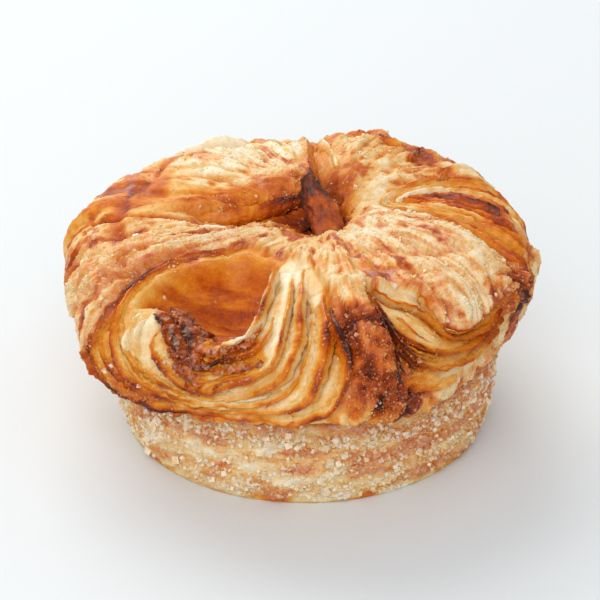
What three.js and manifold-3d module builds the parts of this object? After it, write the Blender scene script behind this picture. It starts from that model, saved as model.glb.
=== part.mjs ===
// A kouign amann: a square of laminated butter dough whose corners are folded to the middle and baked in a ring.
// The ring gives the straight drum below. Above it the dough puffs into a crown of folded flaps round a pit, and
// where two flaps meet the cut edge opens like a fan, so that the dough's layers show as nested curved leaves.
// Millimetres, +Z up. The origin is the centre of the flat underside.
import * as THREE from "three";
import { mergeVertices } from "three/addons/utils/BufferGeometryUtils.js";
import Module from "manifold-3d";

const wasm = await Module();
wasm.setup();

// ---------------------------------------------------------------- driving dimensions

const DRUM = { foot: 39, top: 40.5, height: 14.5, heel: 1.6 }; // radii and height of the part baked in the ring
const CROWN = { radius: 25, width: 22.5, level: 29, height: 13, shoulder: 0.82 }; // a puffed ring round the pit
const CROWN_TILT = { toward: 245, rise: 2.2 }; // degrees to its lowest side, and how far that lies below the middle
const CROWN_ARC = { from: -50, to: 168 }; // degrees round the crown's section, from under the rim to the pit
const PIT = new THREE.Vector2(4, 11); // where the flaps' tips meet, off the drum's axis
const PIT_DEPTH = { front: 0.4, back: 1.25 }; // how fully the section dips at the pit, on its front and back side
const PILLOW = 2.2; // how far a flap swells above its cut edges
const LEAF = { edge: 0.8, root: 1.9, length: 8 }; // one bundle of layers: its thickness and its depth in the dough

// Where the crown is wider or narrower than a circle: at these degrees, over this half width, by so much.
const BULGES = [
  { angle: 163, width: 26, out: 4.5 },
  { angle: 212, width: 16, out: 3 },
  { angle: 28, width: 24, out: 3 },
  { angle: 332, width: 26, out: -4 },
];

// The flaps between the fans: where each is highest (degrees), its half width there and how far it stands up.
const FLAPS = [
  { angle: 194, width: 18, lift: 0.6 },
  { angle: 284, width: 12, lift: 2.2 },
  { angle: 345, width: 12, lift: 1.5 },
  { angle: 68, width: 22, lift: 3.2 },
  { angle: 130, width: 30, lift: 3.6 },
];

// Lumps that stick out of the crown: the knot of scorched layers at the front, the right flap's burnt corner, the
// bulge of the narrow front flap and the corner that curls up beside the pit. The one below 0 undercuts the left
// flap. size is in degrees round the pit and in shares of the section.
const LUMPS = [
  { angle: 236, w: 0.4, size: [9, 0.06], lift: 2.5 },
  { angle: 345, w: 0.33, size: [7, 0.08], lift: 3 },
  { angle: 287, w: 0.3, size: [8, 0.16], lift: 2.5 },
  { angle: 112, w: 0.82, size: [18, 0.1], lift: 3.5 },
  { angle: 193, w: 0.06, size: [13, 0.13], lift: -6 },
];

// Each fan of layers between two flaps. angle and spread are degrees round the pit, lean is how far the fan's inner
// end turns from its foot, and flare how much it widens towards the pit. rim, lip and heel are shares of the way up
// the crown's section: the outer leaf's foot, the inner leaf's foot and the inner end of them all. core is the inner
// leaf's share of the spread on the clockwise and the counterclockwise side, hollow the depth of the pocket inside
// it, and crevice the depth between leaves. tilt raises the counterclockwise side's edges and lowers the others.
// starts and ends are where the inner and the outer leaf begin and stop, in half turns round the loop from its foot.
const FANS = [
  {
    angle: 241, spread: 33, lean: 6, flare: 0, rim: 0.0, lip: 0.34, heel: 0.76, core: [0.66, 0.3], leaves: 7,
    hollow: 11, crevice: 4, tilt: 0.3, starts: [-0.45, -0.9], ends: [0.85, 0.9],
  },
  {
    angle: 312, spread: 23, lean: -34, flare: 0, rim: 0.02, lip: 0.3, heel: 0.62, core: [0.3, 0.5], leaves: 5,
    hollow: 4, crevice: 2.6, tilt: 0, starts: [-0.9, -0.9], ends: [0.6, 0.92],
  },
  {
    angle: 22, spread: 26, lean: 24, flare: 0, rim: 0.1, lip: 0.46, heel: 0.74, core: [0.3, 0.3], leaves: 5,
    hollow: 4, crevice: 2.6, tilt: 0, starts: [-0.9, -0.9], ends: [0.9, 0.9],
  },
  {
    angle: 94, spread: 9, lean: 0, flare: 0.6, rim: 0.3, lip: 0.5, heel: 0.95, core: [0.5, 0.5], leaves: 2,
    hollow: 7, crevice: 5, tilt: 0, starts: [-0.8, -0.8], ends: [0.8, 0.8],
  },
  {
    angle: 176, spread: 12, lean: 0, flare: 1.7, rim: 0.16, lip: 0.34, heel: 0.97, core: [0.6, 0.6], leaves: 2,
    hollow: 10, crevice: 6, tilt: -1.2, starts: [-0.85, -0.85], ends: [0.85, 0.85],
  },
];

const RINGS = { drum: 4, crown: 20 }; // rows of the dough's skin
const SECTORS = 66;
const LEAF_STEPS = 14;

// ---------------------------------------------------------------- the crown's skin

const { cos, sin, abs, PI, min, max } = Math;
const rad = THREE.MathUtils.degToRad;
const { lerp, smoothstep, clamp } = THREE.MathUtils;

// The turn from angle a to angle b, between -PI and PI.
function turnBetween(a, b) {
  const turn = (b - a) % (2 * PI);
  if (turn > PI) return turn - 2 * PI;
  return turn < -PI ? turn + 2 * PI : turn;
}

// A bell curve of turn degrees round the pit, 1 at its middle.
function bell(angle, middle, width) {
  const off = turnBetween(rad(middle), angle) / rad(width);
  return Math.exp(-off * off);
}

function crownWidth(angle) {
  return BULGES.reduce((width, bulge) => width + bulge.out * bell(angle, bulge.angle, bulge.width), CROWN.width);
}

function flapLift(angle, w) {
  let lift = 0;
  for (const flap of FLAPS) lift += flap.lift * bell(angle, flap.angle, flap.width);
  lift *= smoothstep(w, 0.05, 0.5) * (1 - smoothstep(w, 0.6, 1));
  for (const lump of LUMPS) {
    const up = (w - lump.w) / lump.size[1];
    lift += lump.lift * bell(angle, lump.angle, lump.size[0]) * Math.exp(-up * up);
  }
  return lift;
}

// A point of the crown's skin, angle radians round it and share w of the way from under the rim to the pit,
// raised by lift off the skin.
function crownPoint(angle, w, lift = 0) {
  const turn = rad(lerp(CROWN_ARC.from, CROWN_ARC.to, w));
  const up = lift + flapLift(angle, w);
  const square = (value) => Math.sign(value) * abs(value) ** CROWN.shoulder;
  const radius = CROWN.radius + (crownWidth(angle) + up) * square(cos(turn));
  const toPit = clamp(w, 0, 1);
  let height = (CROWN.height + up) * square(sin(turn));
  if (w > 0.5) {
    const dip = lerp(PIT_DEPTH.front, PIT_DEPTH.back, (1 + sin(angle)) / 2);
    height = CROWN.height + up - (CROWN.height + up - height) * dip;
  }
  const rise = -CROWN_TILT.rise * cos(angle - rad(CROWN_TILT.toward)) * (1 - smoothstep(w, 0.6, 1));
  return new THREE.Vector3(
    PIT.x * toPit + radius * cos(angle),
    PIT.y * toPit + radius * sin(angle),
    CROWN.level + rise + height,
  );
}

// ---------------------------------------------------------------- the fans

// The loop that leaf f of a fan follows, with 0 the inner and 1 the outer leaf: its foot and heel, and its half
// spread on the side that side names, below 0 clockwise.
function loopOf(fan, f, side, w) {
  const foot = lerp(fan.lip, fan.rim, f);
  const end = lerp(fan.heel - 0.06, fan.heel, f);
  const core = fan.core[side < 0 ? 0 : 1];
  const half = rad(fan.spread) * lerp(core, 1, f) * (1 + fan.flare * (w - 0.6));
  return { half: max(half, rad(1)), middle: (foot + end) / 2, reach: (end - foot) / 2 };
}

function fanAngle(fan, w) {
  return rad(fan.angle + fan.lean * ((w - fan.rim) / (fan.heel - fan.rim) - 0.5));
}

// The point at turn psi of leaf f's loop: 0 is its foot at the rim and +-PI its end at the pit.
function loopPoint(fan, f, psi, lift) {
  const { middle, reach } = loopOf(fan, f, psi, 0);
  const w = middle - reach * cos(psi);
  return crownPoint(fanAngle(fan, w) + loopOf(fan, f, psi, w).half * sin(psi), w, lift);
}

// How far out in a fan a point of the skin lies: 0 on the inner leaf, 1 on the outer one, more outside it.
function fanShare(fan, angle, w) {
  const turn = turnBetween(fanAngle(fan, w), angle);
  const outside = (f) => {
    const loop = loopOf(fan, f, turn, w);
    return (turn / loop.half) ** 2 + ((w - loop.middle) / loop.reach) ** 2 - 1;
  };
  let low = -0.9,
    high = 2;
  if (outside(high) > 0) return high;
  if (outside(low) < 0) return low;
  for (let i = 0; i < 18; i++) {
    const mid = (low + high) / 2;
    if (outside(mid) > 0) low = mid;
    else high = mid;
  }
  return (low + high) / 2;
}

// How far the skin stands off the plain crown: it swells over the flaps, sinks between the leaves of a fan and sinks
// deeper in the pocket inside the inner leaf.
function reliefAt(angle, w) {
  let sink = 0,
    nearest = 2;
  for (const fan of FANS) {
    const share = fanShare(fan, angle, w);
    const crevice = fan.crevice * smoothstep(1 - share, 0, 0.25);
    const pocket = (fan.hollow - fan.crevice) * smoothstep(-share, -0.2, 0.5);
    sink = max(sink, crevice + pocket);
    nearest = min(nearest, share);
  }
  return PILLOW * smoothstep(nearest, 1, 2) * smoothstep(w, 0, 0.3) - sink;
}

// ---------------------------------------------------------------- meshes

function solidFrom(points, triangles) {
  const geometry = new THREE.BufferGeometry().setFromPoints(points).setIndex(triangles);
  const merged = mergeVertices(geometry, 1e-4);
  return new wasm.Manifold(
    new wasm.Mesh({
      numProp: 3,
      vertProperties: new Float32Array(merged.attributes.position.array),
      triVerts: new Uint32Array(merged.index.array),
    }),
  );
}

// The dough itself: drum, rim and crown as one closed skin of rings from the underside's centre to the pit's floor.
function doughBody() {
  const rings = [];
  for (let i = 0; i < RINGS.drum; i++) {
    const t = i / (RINGS.drum - 1);
    const heel = (1 - t) ** 6 * DRUM.heel;
    const ring = [];
    for (let k = 0; k < SECTORS; k++) {
      const angle = (2 * PI * k) / SECTORS;
      const radius = lerp(DRUM.foot, DRUM.top, t) - heel;
      ring.push(new THREE.Vector3(radius * cos(angle), radius * sin(angle), DRUM.height * t));
    }
    rings.push(ring);
  }
  for (let i = 0; i < RINGS.crown; i++) {
    const w = i / RINGS.crown;
    const ring = [];
    for (let k = 0; k < SECTORS; k++) {
      const angle = (2 * PI * k) / SECTORS;
      ring.push(crownPoint(angle, w, reliefAt(angle, w)));
    }
    rings.push(ring);
  }
  const points = [new THREE.Vector3(0, 0, 0), ...rings.flat()];
  const top = points.length;
  points.push(new THREE.Vector3(PIT.x, PIT.y, rings.at(-1)[0].z - 1));
  const triangles = [];
  const at = (ring, k) => 1 + ring * SECTORS + (k % SECTORS);
  for (let k = 0; k < SECTORS; k++) {
    triangles.push(0, at(0, k + 1), at(0, k));
    triangles.push(top, at(rings.length - 1, k), at(rings.length - 1, k + 1));
    for (let ring = 0; ring < rings.length - 1; ring++) {
      const [a, b, c, d] = [at(ring, k), at(ring, k + 1), at(ring + 1, k + 1), at(ring + 1, k)];
      triangles.push(a, b, c, a, c, d);
    }
  }
  return solidFrom(points, triangles);
}

// One leaf of a fan: a curved sheet that stands in the dough and flares outwards to its crisp edge.
function leafSolid(fan, leaf, seed) {
  const uneven = leaf > 0 && leaf < fan.leaves - 1 ? 0.28 * sin(4.1 * seed) : 0;
  const f = (leaf + uneven) / (fan.leaves - 1);
  const points = [];
  const depths = [0, 0.4, 1];
  const start = PI * lerp(fan.starts[0], fan.starts[1], f);
  const end = PI * lerp(fan.ends[0], fan.ends[1], f);
  for (let i = 0; i <= LEAF_STEPS; i++) {
    const s = (2 * i) / LEAF_STEPS - 1;
    const psi = lerp(start, end, i / LEAF_STEPS);
    const fade = smoothstep(1 - abs(s), 0, 0.18);
    const wave = 0.7 * sin(5 * psi + seed) + 0.4 * sin(9 * psi + 2.3 * seed);
    const edge = lerp(-3, 0.5 + wave * 0.6 - 1.4 * (1 - f) + fan.tilt * sin(psi), fade);
    const inner = [],
      outer = [];
    for (const depth of depths) {
      const share = f - 0.16 * depth ** 1.3;
      const lift = edge - LEAF.length * depth;
      const here = loopPoint(fan, share, psi, lift);
      const across = loopPoint(fan, share + 0.05, psi, lift).sub(here).normalize();
      const half = lerp(LEAF.edge, LEAF.root, depth) / 2;
      inner.push(here.clone().addScaledVector(across, -half));
      outer.push(here.clone().addScaledVector(across, half));
    }
    points.push(...inner, ...outer.reverse());
  }
  const around = depths.length * 2;
  const triangles = [];
  const at = (row, j) => row * around + (j % around);
  for (let row = 0; row < LEAF_STEPS; row++) {
    for (let j = 0; j < around; j++) {
      const [a, b, c, d] = [at(row, j), at(row, j + 1), at(row + 1, j + 1), at(row + 1, j)];
      triangles.push(a, b, c, a, c, d);
    }
  }
  for (let j = 1; j < around - 1; j++) {
    triangles.push(at(0, 0), at(0, j + 1), at(0, j));
    triangles.push(at(LEAF_STEPS, 0), at(LEAF_STEPS, j), at(LEAF_STEPS, j + 1));
  }
  const solid = solidFrom(points, triangles);
  return solid.volume() > 0 ? solid : solidFrom(points, triangles.reverse());
}

let pastry = doughBody();
FANS.forEach((fan, number) => {
  for (let leaf = 0; leaf < fan.leaves; leaf++) {
    pastry = pastry.add(leafSolid(fan, leaf, number * 7 + leaf * 1.7));
  }
});

const { numProp, vertProperties, triVerts } = pastry.getMesh();
if (numProp !== 3) throw new Error("the joined solid should hold positions only");
const geometry = new THREE.BufferGeometry();
geometry.setAttribute("position", new THREE.BufferAttribute(vertProperties, 3));
geometry.setIndex(new THREE.BufferAttribute(triVerts, 1));
geometry.computeVertexNormals();

const crust = new THREE.MeshStandardMaterial({ color: "#c98a45", roughness: 0.55, metalness: 0 });
const mesh = new THREE.Mesh(geometry, crust);
mesh.name = "kouign_amann";

const kouignAmann = new THREE.Group();
kouignAmann.add(mesh);

export default kouignAmann;
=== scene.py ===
import math
from types import SimpleNamespace

import bpy
import numpy as np
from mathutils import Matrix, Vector, noise


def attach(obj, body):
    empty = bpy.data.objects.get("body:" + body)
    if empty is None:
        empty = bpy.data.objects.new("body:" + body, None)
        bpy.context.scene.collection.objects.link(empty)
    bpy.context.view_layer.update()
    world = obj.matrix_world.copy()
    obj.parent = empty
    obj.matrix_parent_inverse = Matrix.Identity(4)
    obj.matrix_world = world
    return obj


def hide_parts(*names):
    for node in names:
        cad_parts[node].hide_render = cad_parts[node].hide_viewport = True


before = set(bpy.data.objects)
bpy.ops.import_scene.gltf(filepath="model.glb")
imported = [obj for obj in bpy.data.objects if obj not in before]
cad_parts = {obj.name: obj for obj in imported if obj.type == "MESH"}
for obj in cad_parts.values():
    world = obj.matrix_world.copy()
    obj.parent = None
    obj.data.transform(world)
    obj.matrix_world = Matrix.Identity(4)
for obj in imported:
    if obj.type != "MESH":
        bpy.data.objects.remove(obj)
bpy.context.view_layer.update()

# ------------------------------------------------------------------ the crown
# The puffed top of the dough: flaps folded towards a pit. Its skin is baked gold to brown, glazed with melted
# sugar and wrinkled where it shrank. Between the flaps it opens, and the cut edge of every layer is a crest.
# The courses of the crests come first here, because the skin falls away beside each of them.

MM = 0.001
CROWN = {"radius": 25, "width": 22.5, "level": 29, "height": 13, "fullness": 0.13}
CROWN_ARC = (-50, 168)  # degrees round the section, from under the rim to the pit
RIM_TUCK = (264, 34, 14)  # where the front fan lifts the rim: its middle, half width and rise of the arc
CROWN_TILT = {"toward": 205, "rise": 2.2}
PIT = {"x": 4, "y": 11, "radius": 4.2, "depth": (1.5, 1.9), "fullness": 0.4, "floor": 36.5}
PILLOW = 1.6  # mm, how much the flaps are puffed up
BULGES = [  # degrees, half width, and mm outwards
    (163, 26, 4.5),
    (150, 15, 2.6),
    (212, 16, 3),
    (20, 22, 0.8),
    (332, 26, -4),
]
FLAPS = [  # degrees, half width, and mm upwards
    (194, 18, 0.6),
    (283, 7, 1.5),
    (330, 14, 1.5),
    (72, 22, 3.8),
    (130, 30, 3.6),
]
LUMPS = [  # degrees, share of the section, half widths of both, mm off the skin
    (341, 0.32, 6, 0.07, 3),
    (285, 0.36, 6, 0.14, 2.5),
    (112, 0.82, 18, 0.1, 3.5),
    (194, 0.06, 12, 0.13, -7),
]


def turn_between(a, b):
    """The turn from angle a to angle b, between -pi and pi."""
    return (b - a + np.pi) % (2 * np.pi) - np.pi


def ease(x, low, high):
    """0 below low, 1 above high and a soft step between them."""
    t = np.clip((x - low) / (high - low), 0, 1)
    return t * t * (3 - 2 * t)


def mix(a, b, t):
    """From a to b by the share t."""
    return a + (b - a) * t


def bell(angle, middle, width):
    """A bell curve round the pit, 1 at its middle and a third of that width degrees away."""
    off = turn_between(math.radians(middle), angle) / math.radians(width)
    return np.exp(-off * off)


def crown_point(angle, w, lift):
    """The crown's skin in mm at an angle in radians and a share w of its section, raised by lift mm."""
    width = CROWN["width"] + sum(out * bell(angle, at, half) for at, half, out in BULGES)
    up = sum(rise * bell(angle, at, half) for at, half, rise in FLAPS)
    up = up * ease(w, 0.05, 0.5) * (1 - ease(w, 0.6, 1)) + lift
    for at, share, half, tall, rise in LUMPS:
        up = up + rise * bell(angle, at, half) * np.exp(-(((w - share) / tall) ** 2))
    under = CROWN_ARC[0] + RIM_TUCK[2] * bell(angle, *RIM_TUCK[:2])
    turn = np.radians(mix(under, CROWN_ARC[1], w))
    outside = np.cos(turn) > 0
    full = np.where(outside, CROWN["fullness"], PIT["fullness"])
    across = np.cos(turn) * (1 + full * np.sin(turn) ** 2)
    upwards = np.sin(turn) * (1 + full * np.cos(turn) ** 2)
    radius = CROWN["radius"] + (np.where(outside, width, CROWN["radius"] - PIT["radius"]) + up) * across
    top = CROWN["height"] + up
    dip = np.where(outside, 1, mix(*PIT["depth"], (1 + np.sin(angle)) / 2))
    height = top - (top - top * upwards) * dip
    tilt = -CROWN_TILT["rise"] * np.cos(angle - math.radians(CROWN_TILT["toward"])) * (1 - ease(w, 0.6, 1))
    to_pit = np.clip(w, 0, 1)
    x = PIT["x"] * to_pit + radius * np.cos(angle)
    y = PIT["y"] * to_pit + radius * np.sin(angle)
    return np.stack([x, y, CROWN["level"] + tilt + height], axis=-1)


# The fan at the back is a bundle of leaves bent round a hollow. Each leaf is how far out it lies, 0 to 1, on
# the clockwise and on the counterclockwise side. Shares are of the crown's section, angles in degrees.
BACK_FAN = {
    "angle": 6, "spread": 25, "lean": 20, "flare": 0.8,
    "rim": 0.14, "lip": 0.44, "heel": 0.75, "core": (0.1, 0.1),
    "starts": (0.15, 0.2), "ends": (1.85, 1.8),
    "leaves": [(0, 0), (0.2, 0.16), (0.38, 0.36), (0.56, 0.55), (0.8, 0.76), (1, 1)],
}


def loop_of(fan, f, side, w):
    """The loop of leaf f of a fan, 0 the inner and 1 the outer: half its spread, its middle and reach."""
    foot = mix(fan["lip"], fan["rim"], f)
    end = mix(fan["heel"] - 0.06, fan["heel"], f)
    core = np.where(side < 0, fan["core"][0], fan["core"][1])
    half = math.radians(fan["spread"]) * mix(core, 1, f) * (1 + fan["flare"] * (w - 0.6))
    return np.maximum(half, math.radians(1)), (foot + end) / 2, (end - foot) / 2


def fan_angle(fan, w):
    """The middle of a fan at a share of the section, in radians."""
    return np.radians(fan["angle"] + fan["lean"] * ((w - fan["rim"]) / (fan["heel"] - fan["rim"]) - 0.5))


def round_leaf(fan, left, right, count=160):
    """The crest of one leaf of a round fan: its angles and its shares of the section."""
    psi = np.pi * np.linspace(mix(*fan["starts"], left), mix(*fan["ends"], right), count)
    f = mix(left, right, (1 + np.sin(psi)) / 2)
    _, middle, reach = loop_of(fan, f, np.sin(psi), 0)
    w = middle - reach * np.cos(psi)
    return fan_angle(fan, w) + loop_of(fan, f, np.sin(psi), w)[0] * np.sin(psi), w


def fan_share(fan, angle, w):
    """How far out in a fan a point lies: 0 on the inner leaf, 1 on the outer one, more outside."""
    turn = turn_between(fan_angle(fan, w), angle)

    def outside(f):
        half, middle, reach = loop_of(fan, f, turn, w)
        return (turn / half) ** 2 + ((w - middle) / reach) ** 2 > 1

    low = np.full_like(angle, -0.9)
    high = np.full_like(angle, 2.0)
    never, always = outside(high), ~outside(low)
    for _ in range(16):
        middle = (low + high) / 2
        out = outside(middle)
        low, high = np.where(out, middle, low), np.where(out, high, middle)
    return np.where(never, 2.0, np.where(always, -0.9, (low + high) / 2))


def through(places, count=160):
    """A smooth course through a few places, each in degrees round the crown and a share of its section."""
    places = np.array(places, dtype=float)
    ends = 2 * places[[0, -1]] - places[[1, -2]]
    padded = np.vstack([ends[:1], places, ends[1:]])
    at = np.linspace(0, len(places) - 1, count)
    first = np.minimum(at.astype(int), len(places) - 2)
    t = (at - first)[:, None]
    a, b, c, d = (padded[first + step] for step in range(4))
    course = b + 0.5 * ((c - a) * t + (2 * a - 5 * b + 4 * c - d) * t**2 + (3 * b - a - 3 * c + d) * t**3)
    return np.radians(course[:, 0]), course[:, 1]


def leaf(course, drop, rise, crest, face=None, reach=3.6, under=None, thick=1.0, crumple=1.0):
    """A crest with a leaf rising off it, and the dough falling by drop mm over reach mm on its right. Drop,
    rise, thick, and the tones of the crest and of the face on its left are one value or several along it.
    A lip gives the tone of the dough under it, and crumple says how torn the leaf is."""
    angle, w = course
    points = crown_point(angle, w, 0)
    steps = np.linalg.norm(np.diff(points, axis=0), axis=1)
    share = np.linspace(0, 1, len(angle))

    def spread(values):
        values = np.atleast_1d(values)
        return np.interp(share, np.linspace(0, 1, len(values)), values)

    return {
        "angle": angle, "w": w, "share": share, "points": points, "up": crown_point(angle, w, 1) - points,
        "along": np.concatenate([[0], np.cumsum(steps)]), "reach": reach, "under": under,
        "thick": spread(thick), "crumple": crumple,
        "drop": spread(drop), "rise": spread(rise), "crest": spread(crest),
        "face": None if face is None else spread(face),
    }


# The crests, each in degrees round the crown and shares of its section, with the open side on the right.
# Tones say how the oven coloured it: 0 is pale dough, 0.5 amber, 0.75 brown and 1 burnt.
FRONT_FAN = [
    leaf(
        through([
            (250, 0.69), (218, 0.7), (208.5, 0.62), (208, 0.52), (211, 0.41), (211.5, 0.29), (207.5, 0.19),
            (212, 0.12), (220, 0.06), (233, 0.08), (245, 0.1), (259, 0.095), (268, 0.09), (274, 0.13),
            (277, 0.2), (278.5, 0.28), (278, 0.36), (276, 0.45), (274, 0.56),
        ]),
        drop=(0, 0, 0, 0, 0.5, 1.5, 2.5, 2.5), rise=(0.2, 0.6, 0.7, 0.5, 0.4, 0.5, 0.8, 1, 0.8),
        crest=(0.6, 0.76, 0.78, 0.78, 0.72, 0.68, 0.68, 0.7, 0.6),
        face=(0.42, 0.44, 0.38, 0.34, 0.2, 0.12, 0.2, 0.22, 0.14),
        thick=(1, 1.6, 1.6, 1, 1, 1.6, 1.6), reach=4,
    ),
    leaf(
        through([
            (224, 0.69), (214, 0.65), (209, 0.59), (209.5, 0.53), (212, 0.46), (215, 0.38), (217, 0.3),
            (220, 0.22), (225, 0.17), (239, 0.13), (254, 0.13), (265, 0.14), (269.5, 0.18), (271, 0.24),
            (273, 0.34), (273.5, 0.42), (272.5, 0.5), (273, 0.57),
        ]),
        drop=(1, 3, 3.4, 3, 1.6, 1.4, 2.4, 4.6, 4.6, 3),
        rise=(0.2, 0.6, 0.8, 0.7, 0.4, 0.4, 1, 1.4, 1.4, 1.2),
        crest=(0.56, 0.7, 0.7, 0.7, 0.64, 0.58, 0.56, 0.68, 0.7, 0.68, 0.6),
        face=(0.46, 0.46, 0.32, 0.2, 0.12, 0.1, 0.1, 0.16, 0.14, 0.06),
        thick=(0.8, 1, 1, 0.8, 1, 2.2, 2.2, 1.6), reach=5,
    ),
    leaf(
        through([
            (220, 0.45), (220, 0.37), (221, 0.3), (225, 0.23), (236, 0.165), (248, 0.155), (260, 0.17),
            (266, 0.22), (268.5, 0.31), (269, 0.4), (268, 0.52), (264, 0.64),
        ]),
        drop=(1.5, 1.2, 1, 1.4, 1, 0, 0, 0), rise=(0.6, 0.6, 0.5, 0.6, 0.3, -1.5, -2, -2),
        crest=(0.1, 0.2, 0.45, 0.5, 0.45, 0.3, 0.2), face=(0.3, 0.08, 0.1, 0.12, 0.16, 0.1, 0.08),
    ),
    leaf(
        through([
            (223, 0.43), (223, 0.36), (224.5, 0.3), (228, 0.23), (235, 0.19), (246, 0.17), (255, 0.19),
            (262, 0.24), (265, 0.31), (266, 0.4), (265, 0.52), (262.5, 0.65),
        ]),
        drop=(1, 1, 1, 1, 2, 3.6, 4, 3), rise=(0.6, 0.5, 0.4, 0.4, 0.8, 1.4, 1.2, 2.2),
        crest=(0.1, 0.15, 0.5, 0.52, 0.5, 0.62, 0.6, 0.56),
        face=(0.04, 0.06, 0.12, 0.16, 0.16, 0.08, 0.04),
        thick=(0.8, 0.8, 0.8, 1, 1.6, 2, 1.2), reach=5,
    ),
    leaf(
        through([
            (228, 0.39), (228, 0.34), (231, 0.28), (237, 0.22), (244, 0.19), (250, 0.22), (256, 0.25),
            (261, 0.3), (262, 0.37), (262, 0.45), (261, 0.54), (258, 0.63),
        ]),
        drop=(1, 1.2, 1.6, 1.6, 1.2, 2, 2.4), rise=(0.5, 0.5, 0.9, 0.9, 0.5, 0.8, 0.8, 1.2),
        crest=(0.3, 0.6, 0.8, 0.8, 0.6, 0.6, 0.5, 0.5),
        face=(0.06, 0.16, 0.34, 0.36, 0.2, 0.1, 0.06, 0.04),
        reach=4,
    ),
    leaf(
        through([
            (226, 0.42), (232, 0.36), (237, 0.31), (243, 0.28), (248, 0.31), (254, 0.34), (257, 0.38),
            (258, 0.43), (258, 0.5), (255, 0.58), (250.5, 0.63),
        ]),
        drop=(1, 1.5, 1.6, 1.4, 1, 0, 0), rise=(1, 1.2, 1.2, 1, 0.5, -1.5, -1.5),
        crest=(0.6, 0.85, 0.95, 0.9, 0.5, 0.3, 0.3, 0.4), face=(0.1, 0.4, 0.6, 0.5, 0.16, 0.08, 0.06),
    ),
    leaf(
        through([(245, 0.34), (250, 0.37), (253, 0.4), (254, 0.46), (253, 0.52), (252, 0.58), (250, 0.64)]),
        drop=2, rise=(0.3, 1, 1.2, 1.6, 2.2), crest=(0.6, 0.2, 0.3, 0.56, 0.4, 0.66),
        face=(0.12, 0.04, 0.1, 0.06),
        thick=1.2,
    ),
]
KNOT = [  # the scorched, crumpled heart of the front fan
    leaf(
        through([(224, 0.43), (230, 0.39), (235, 0.35), (239, 0.3), (244, 0.26)]),
        drop=0.8, rise=(0.8, 2.4, 2, 0.8), crest=(0.66, 0.84, 0.88, 0.8), face=0.64, reach=2, thick=1.5,
        crumple=2.4,
    ),
    leaf(
        through([(225, 0.46), (232, 0.42), (238, 0.37), (241, 0.32), (242, 0.27)]),
        drop=0.8, rise=(0.8, 2.4, 2.4, 0.6), crest=(0.6, 0.84, 0.92, 0.8), face=0.64, reach=2,
        thick=1.2, crumple=2.8,
    ),
    leaf(
        through([(235, 0.42), (239, 0.36), (244, 0.33), (250, 0.34), (256, 0.38)]),
        drop=0.8, rise=(0.6, 1.2, 1.4, 0.8), crest=(0.9, 0.86, 0.74, 0.6), face=0.5, reach=2, thick=1.2,
        crumple=3,
    ),
    leaf(
        through([(230, 0.37), (235, 0.31), (240, 0.25), (244, 0.2)]),
        drop=0.8, rise=(0.4, 1.4, 1), crest=(0.7, 0.84, 0.74), face=0.5, reach=2, thick=1.4, crumple=3,
    ),
    leaf(
        through([(234, 0.34), (240, 0.3), (247, 0.28), (254, 0.29), (259, 0.32)]),
        drop=0.8, rise=(0.6, 1.4, 1, 0.6), crest=(0.9, 0.84, 0.7, 0.6), face=0.4, reach=2, thick=1.2,
        crumple=2.6,
    ),
    leaf(
        through([(238, 0.27), (241, 0.21), (245, 0.19), (249, 0.23), (253, 0.25), (258, 0.27)]),
        drop=0.8, rise=0.8, crest=(0.8, 0.8, 0.7), face=0.4, reach=2, thick=0.9, crumple=2,
    ),
]
FRONT_HOLLOW = [  # the edge of the deep pocket behind the knot
    (214, 0.61), (211.5, 0.54), (214, 0.47), (216.5, 0.41), (222, 0.43), (228, 0.42), (236, 0.36),
    (242, 0.34), (250, 0.36), (253.5, 0.43), (253, 0.51), (251.5, 0.59), (248, 0.67), (230, 0.69),
    (218, 0.66), (214, 0.61),
]
FRONT_OUTLINE = [  # the edge of the whole front fan
    (250, 0.69), (218, 0.7), (208.5, 0.62), (208, 0.52), (211, 0.41), (211.5, 0.29), (207.5, 0.19),
    (212, 0.12), (220, 0.06), (233, 0.08), (245, 0.1), (259, 0.095), (268, 0.09), (274, 0.13), (277, 0.2),
    (278.5, 0.28), (278, 0.36), (276, 0.45), (274, 0.56), (266, 0.66), (250, 0.69),
]
RIGHT_FAN = [
    leaf(
        through([(304.5, 0.51), (304.5, 0.42), (307, 0.35), (314, 0.315), (323, 0.32), (333, 0.33)]),
        drop=2.6, rise=0.5, crest=(0.6, 0.7, 0.74, 0.74), face=(0.12, 0.2, 0.3, 0.46), reach=3,
        thick=0.4,
    ),
    leaf(
        through([
            (289, 0.56), (293, 0.5), (300, 0.455), (304, 0.38), (307.5, 0.32), (314, 0.285), (324, 0.275),
            (335, 0.285),
        ]),
        drop=2.2, rise=0.6, crest=(0.66, 0.72, 0.76, 0.74), face=(0.14, 0.22, 0.3, 0.4, 0.46), reach=3,
        thick=0.4,
    ),
    leaf(
        through([
            (286.5, 0.54), (288, 0.48), (291, 0.4), (295, 0.35), (301, 0.3), (309, 0.26), (323, 0.24),
            (338, 0.25),
        ]),
        drop=2.6, rise=0.7, crest=(0.7, 0.74, 0.74, 0.76, 0.7), face=(0.32, 0.24, 0.28, 0.4, 0.46),
        reach=3.4, thick=0.5,
    ),
    leaf(
        through([
            (288, 0.46), (290, 0.4), (293, 0.33), (300, 0.245), (311, 0.205), (322, 0.205), (334, 0.22),
        ]),
        drop=2.4, rise=0.6, crest=(0.66, 0.72, 0.74, 0.7, 0.6), face=(0.32, 0.26, 0.3, 0.36, 0.44),
        reach=3.4, thick=0.5,
    ),
    leaf(
        through([
            (287, 0.5), (288, 0.41), (289, 0.32), (290.5, 0.25), (294, 0.19), (303, 0.16), (314, 0.155),
        ]),
        drop=0.8, rise=0.4, crest=(0.5, 0.6, 0.56, 0.5, 0.4), face=(0.4, 0.3, 0.3, 0.24, 0.24),
    ),
]
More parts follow.
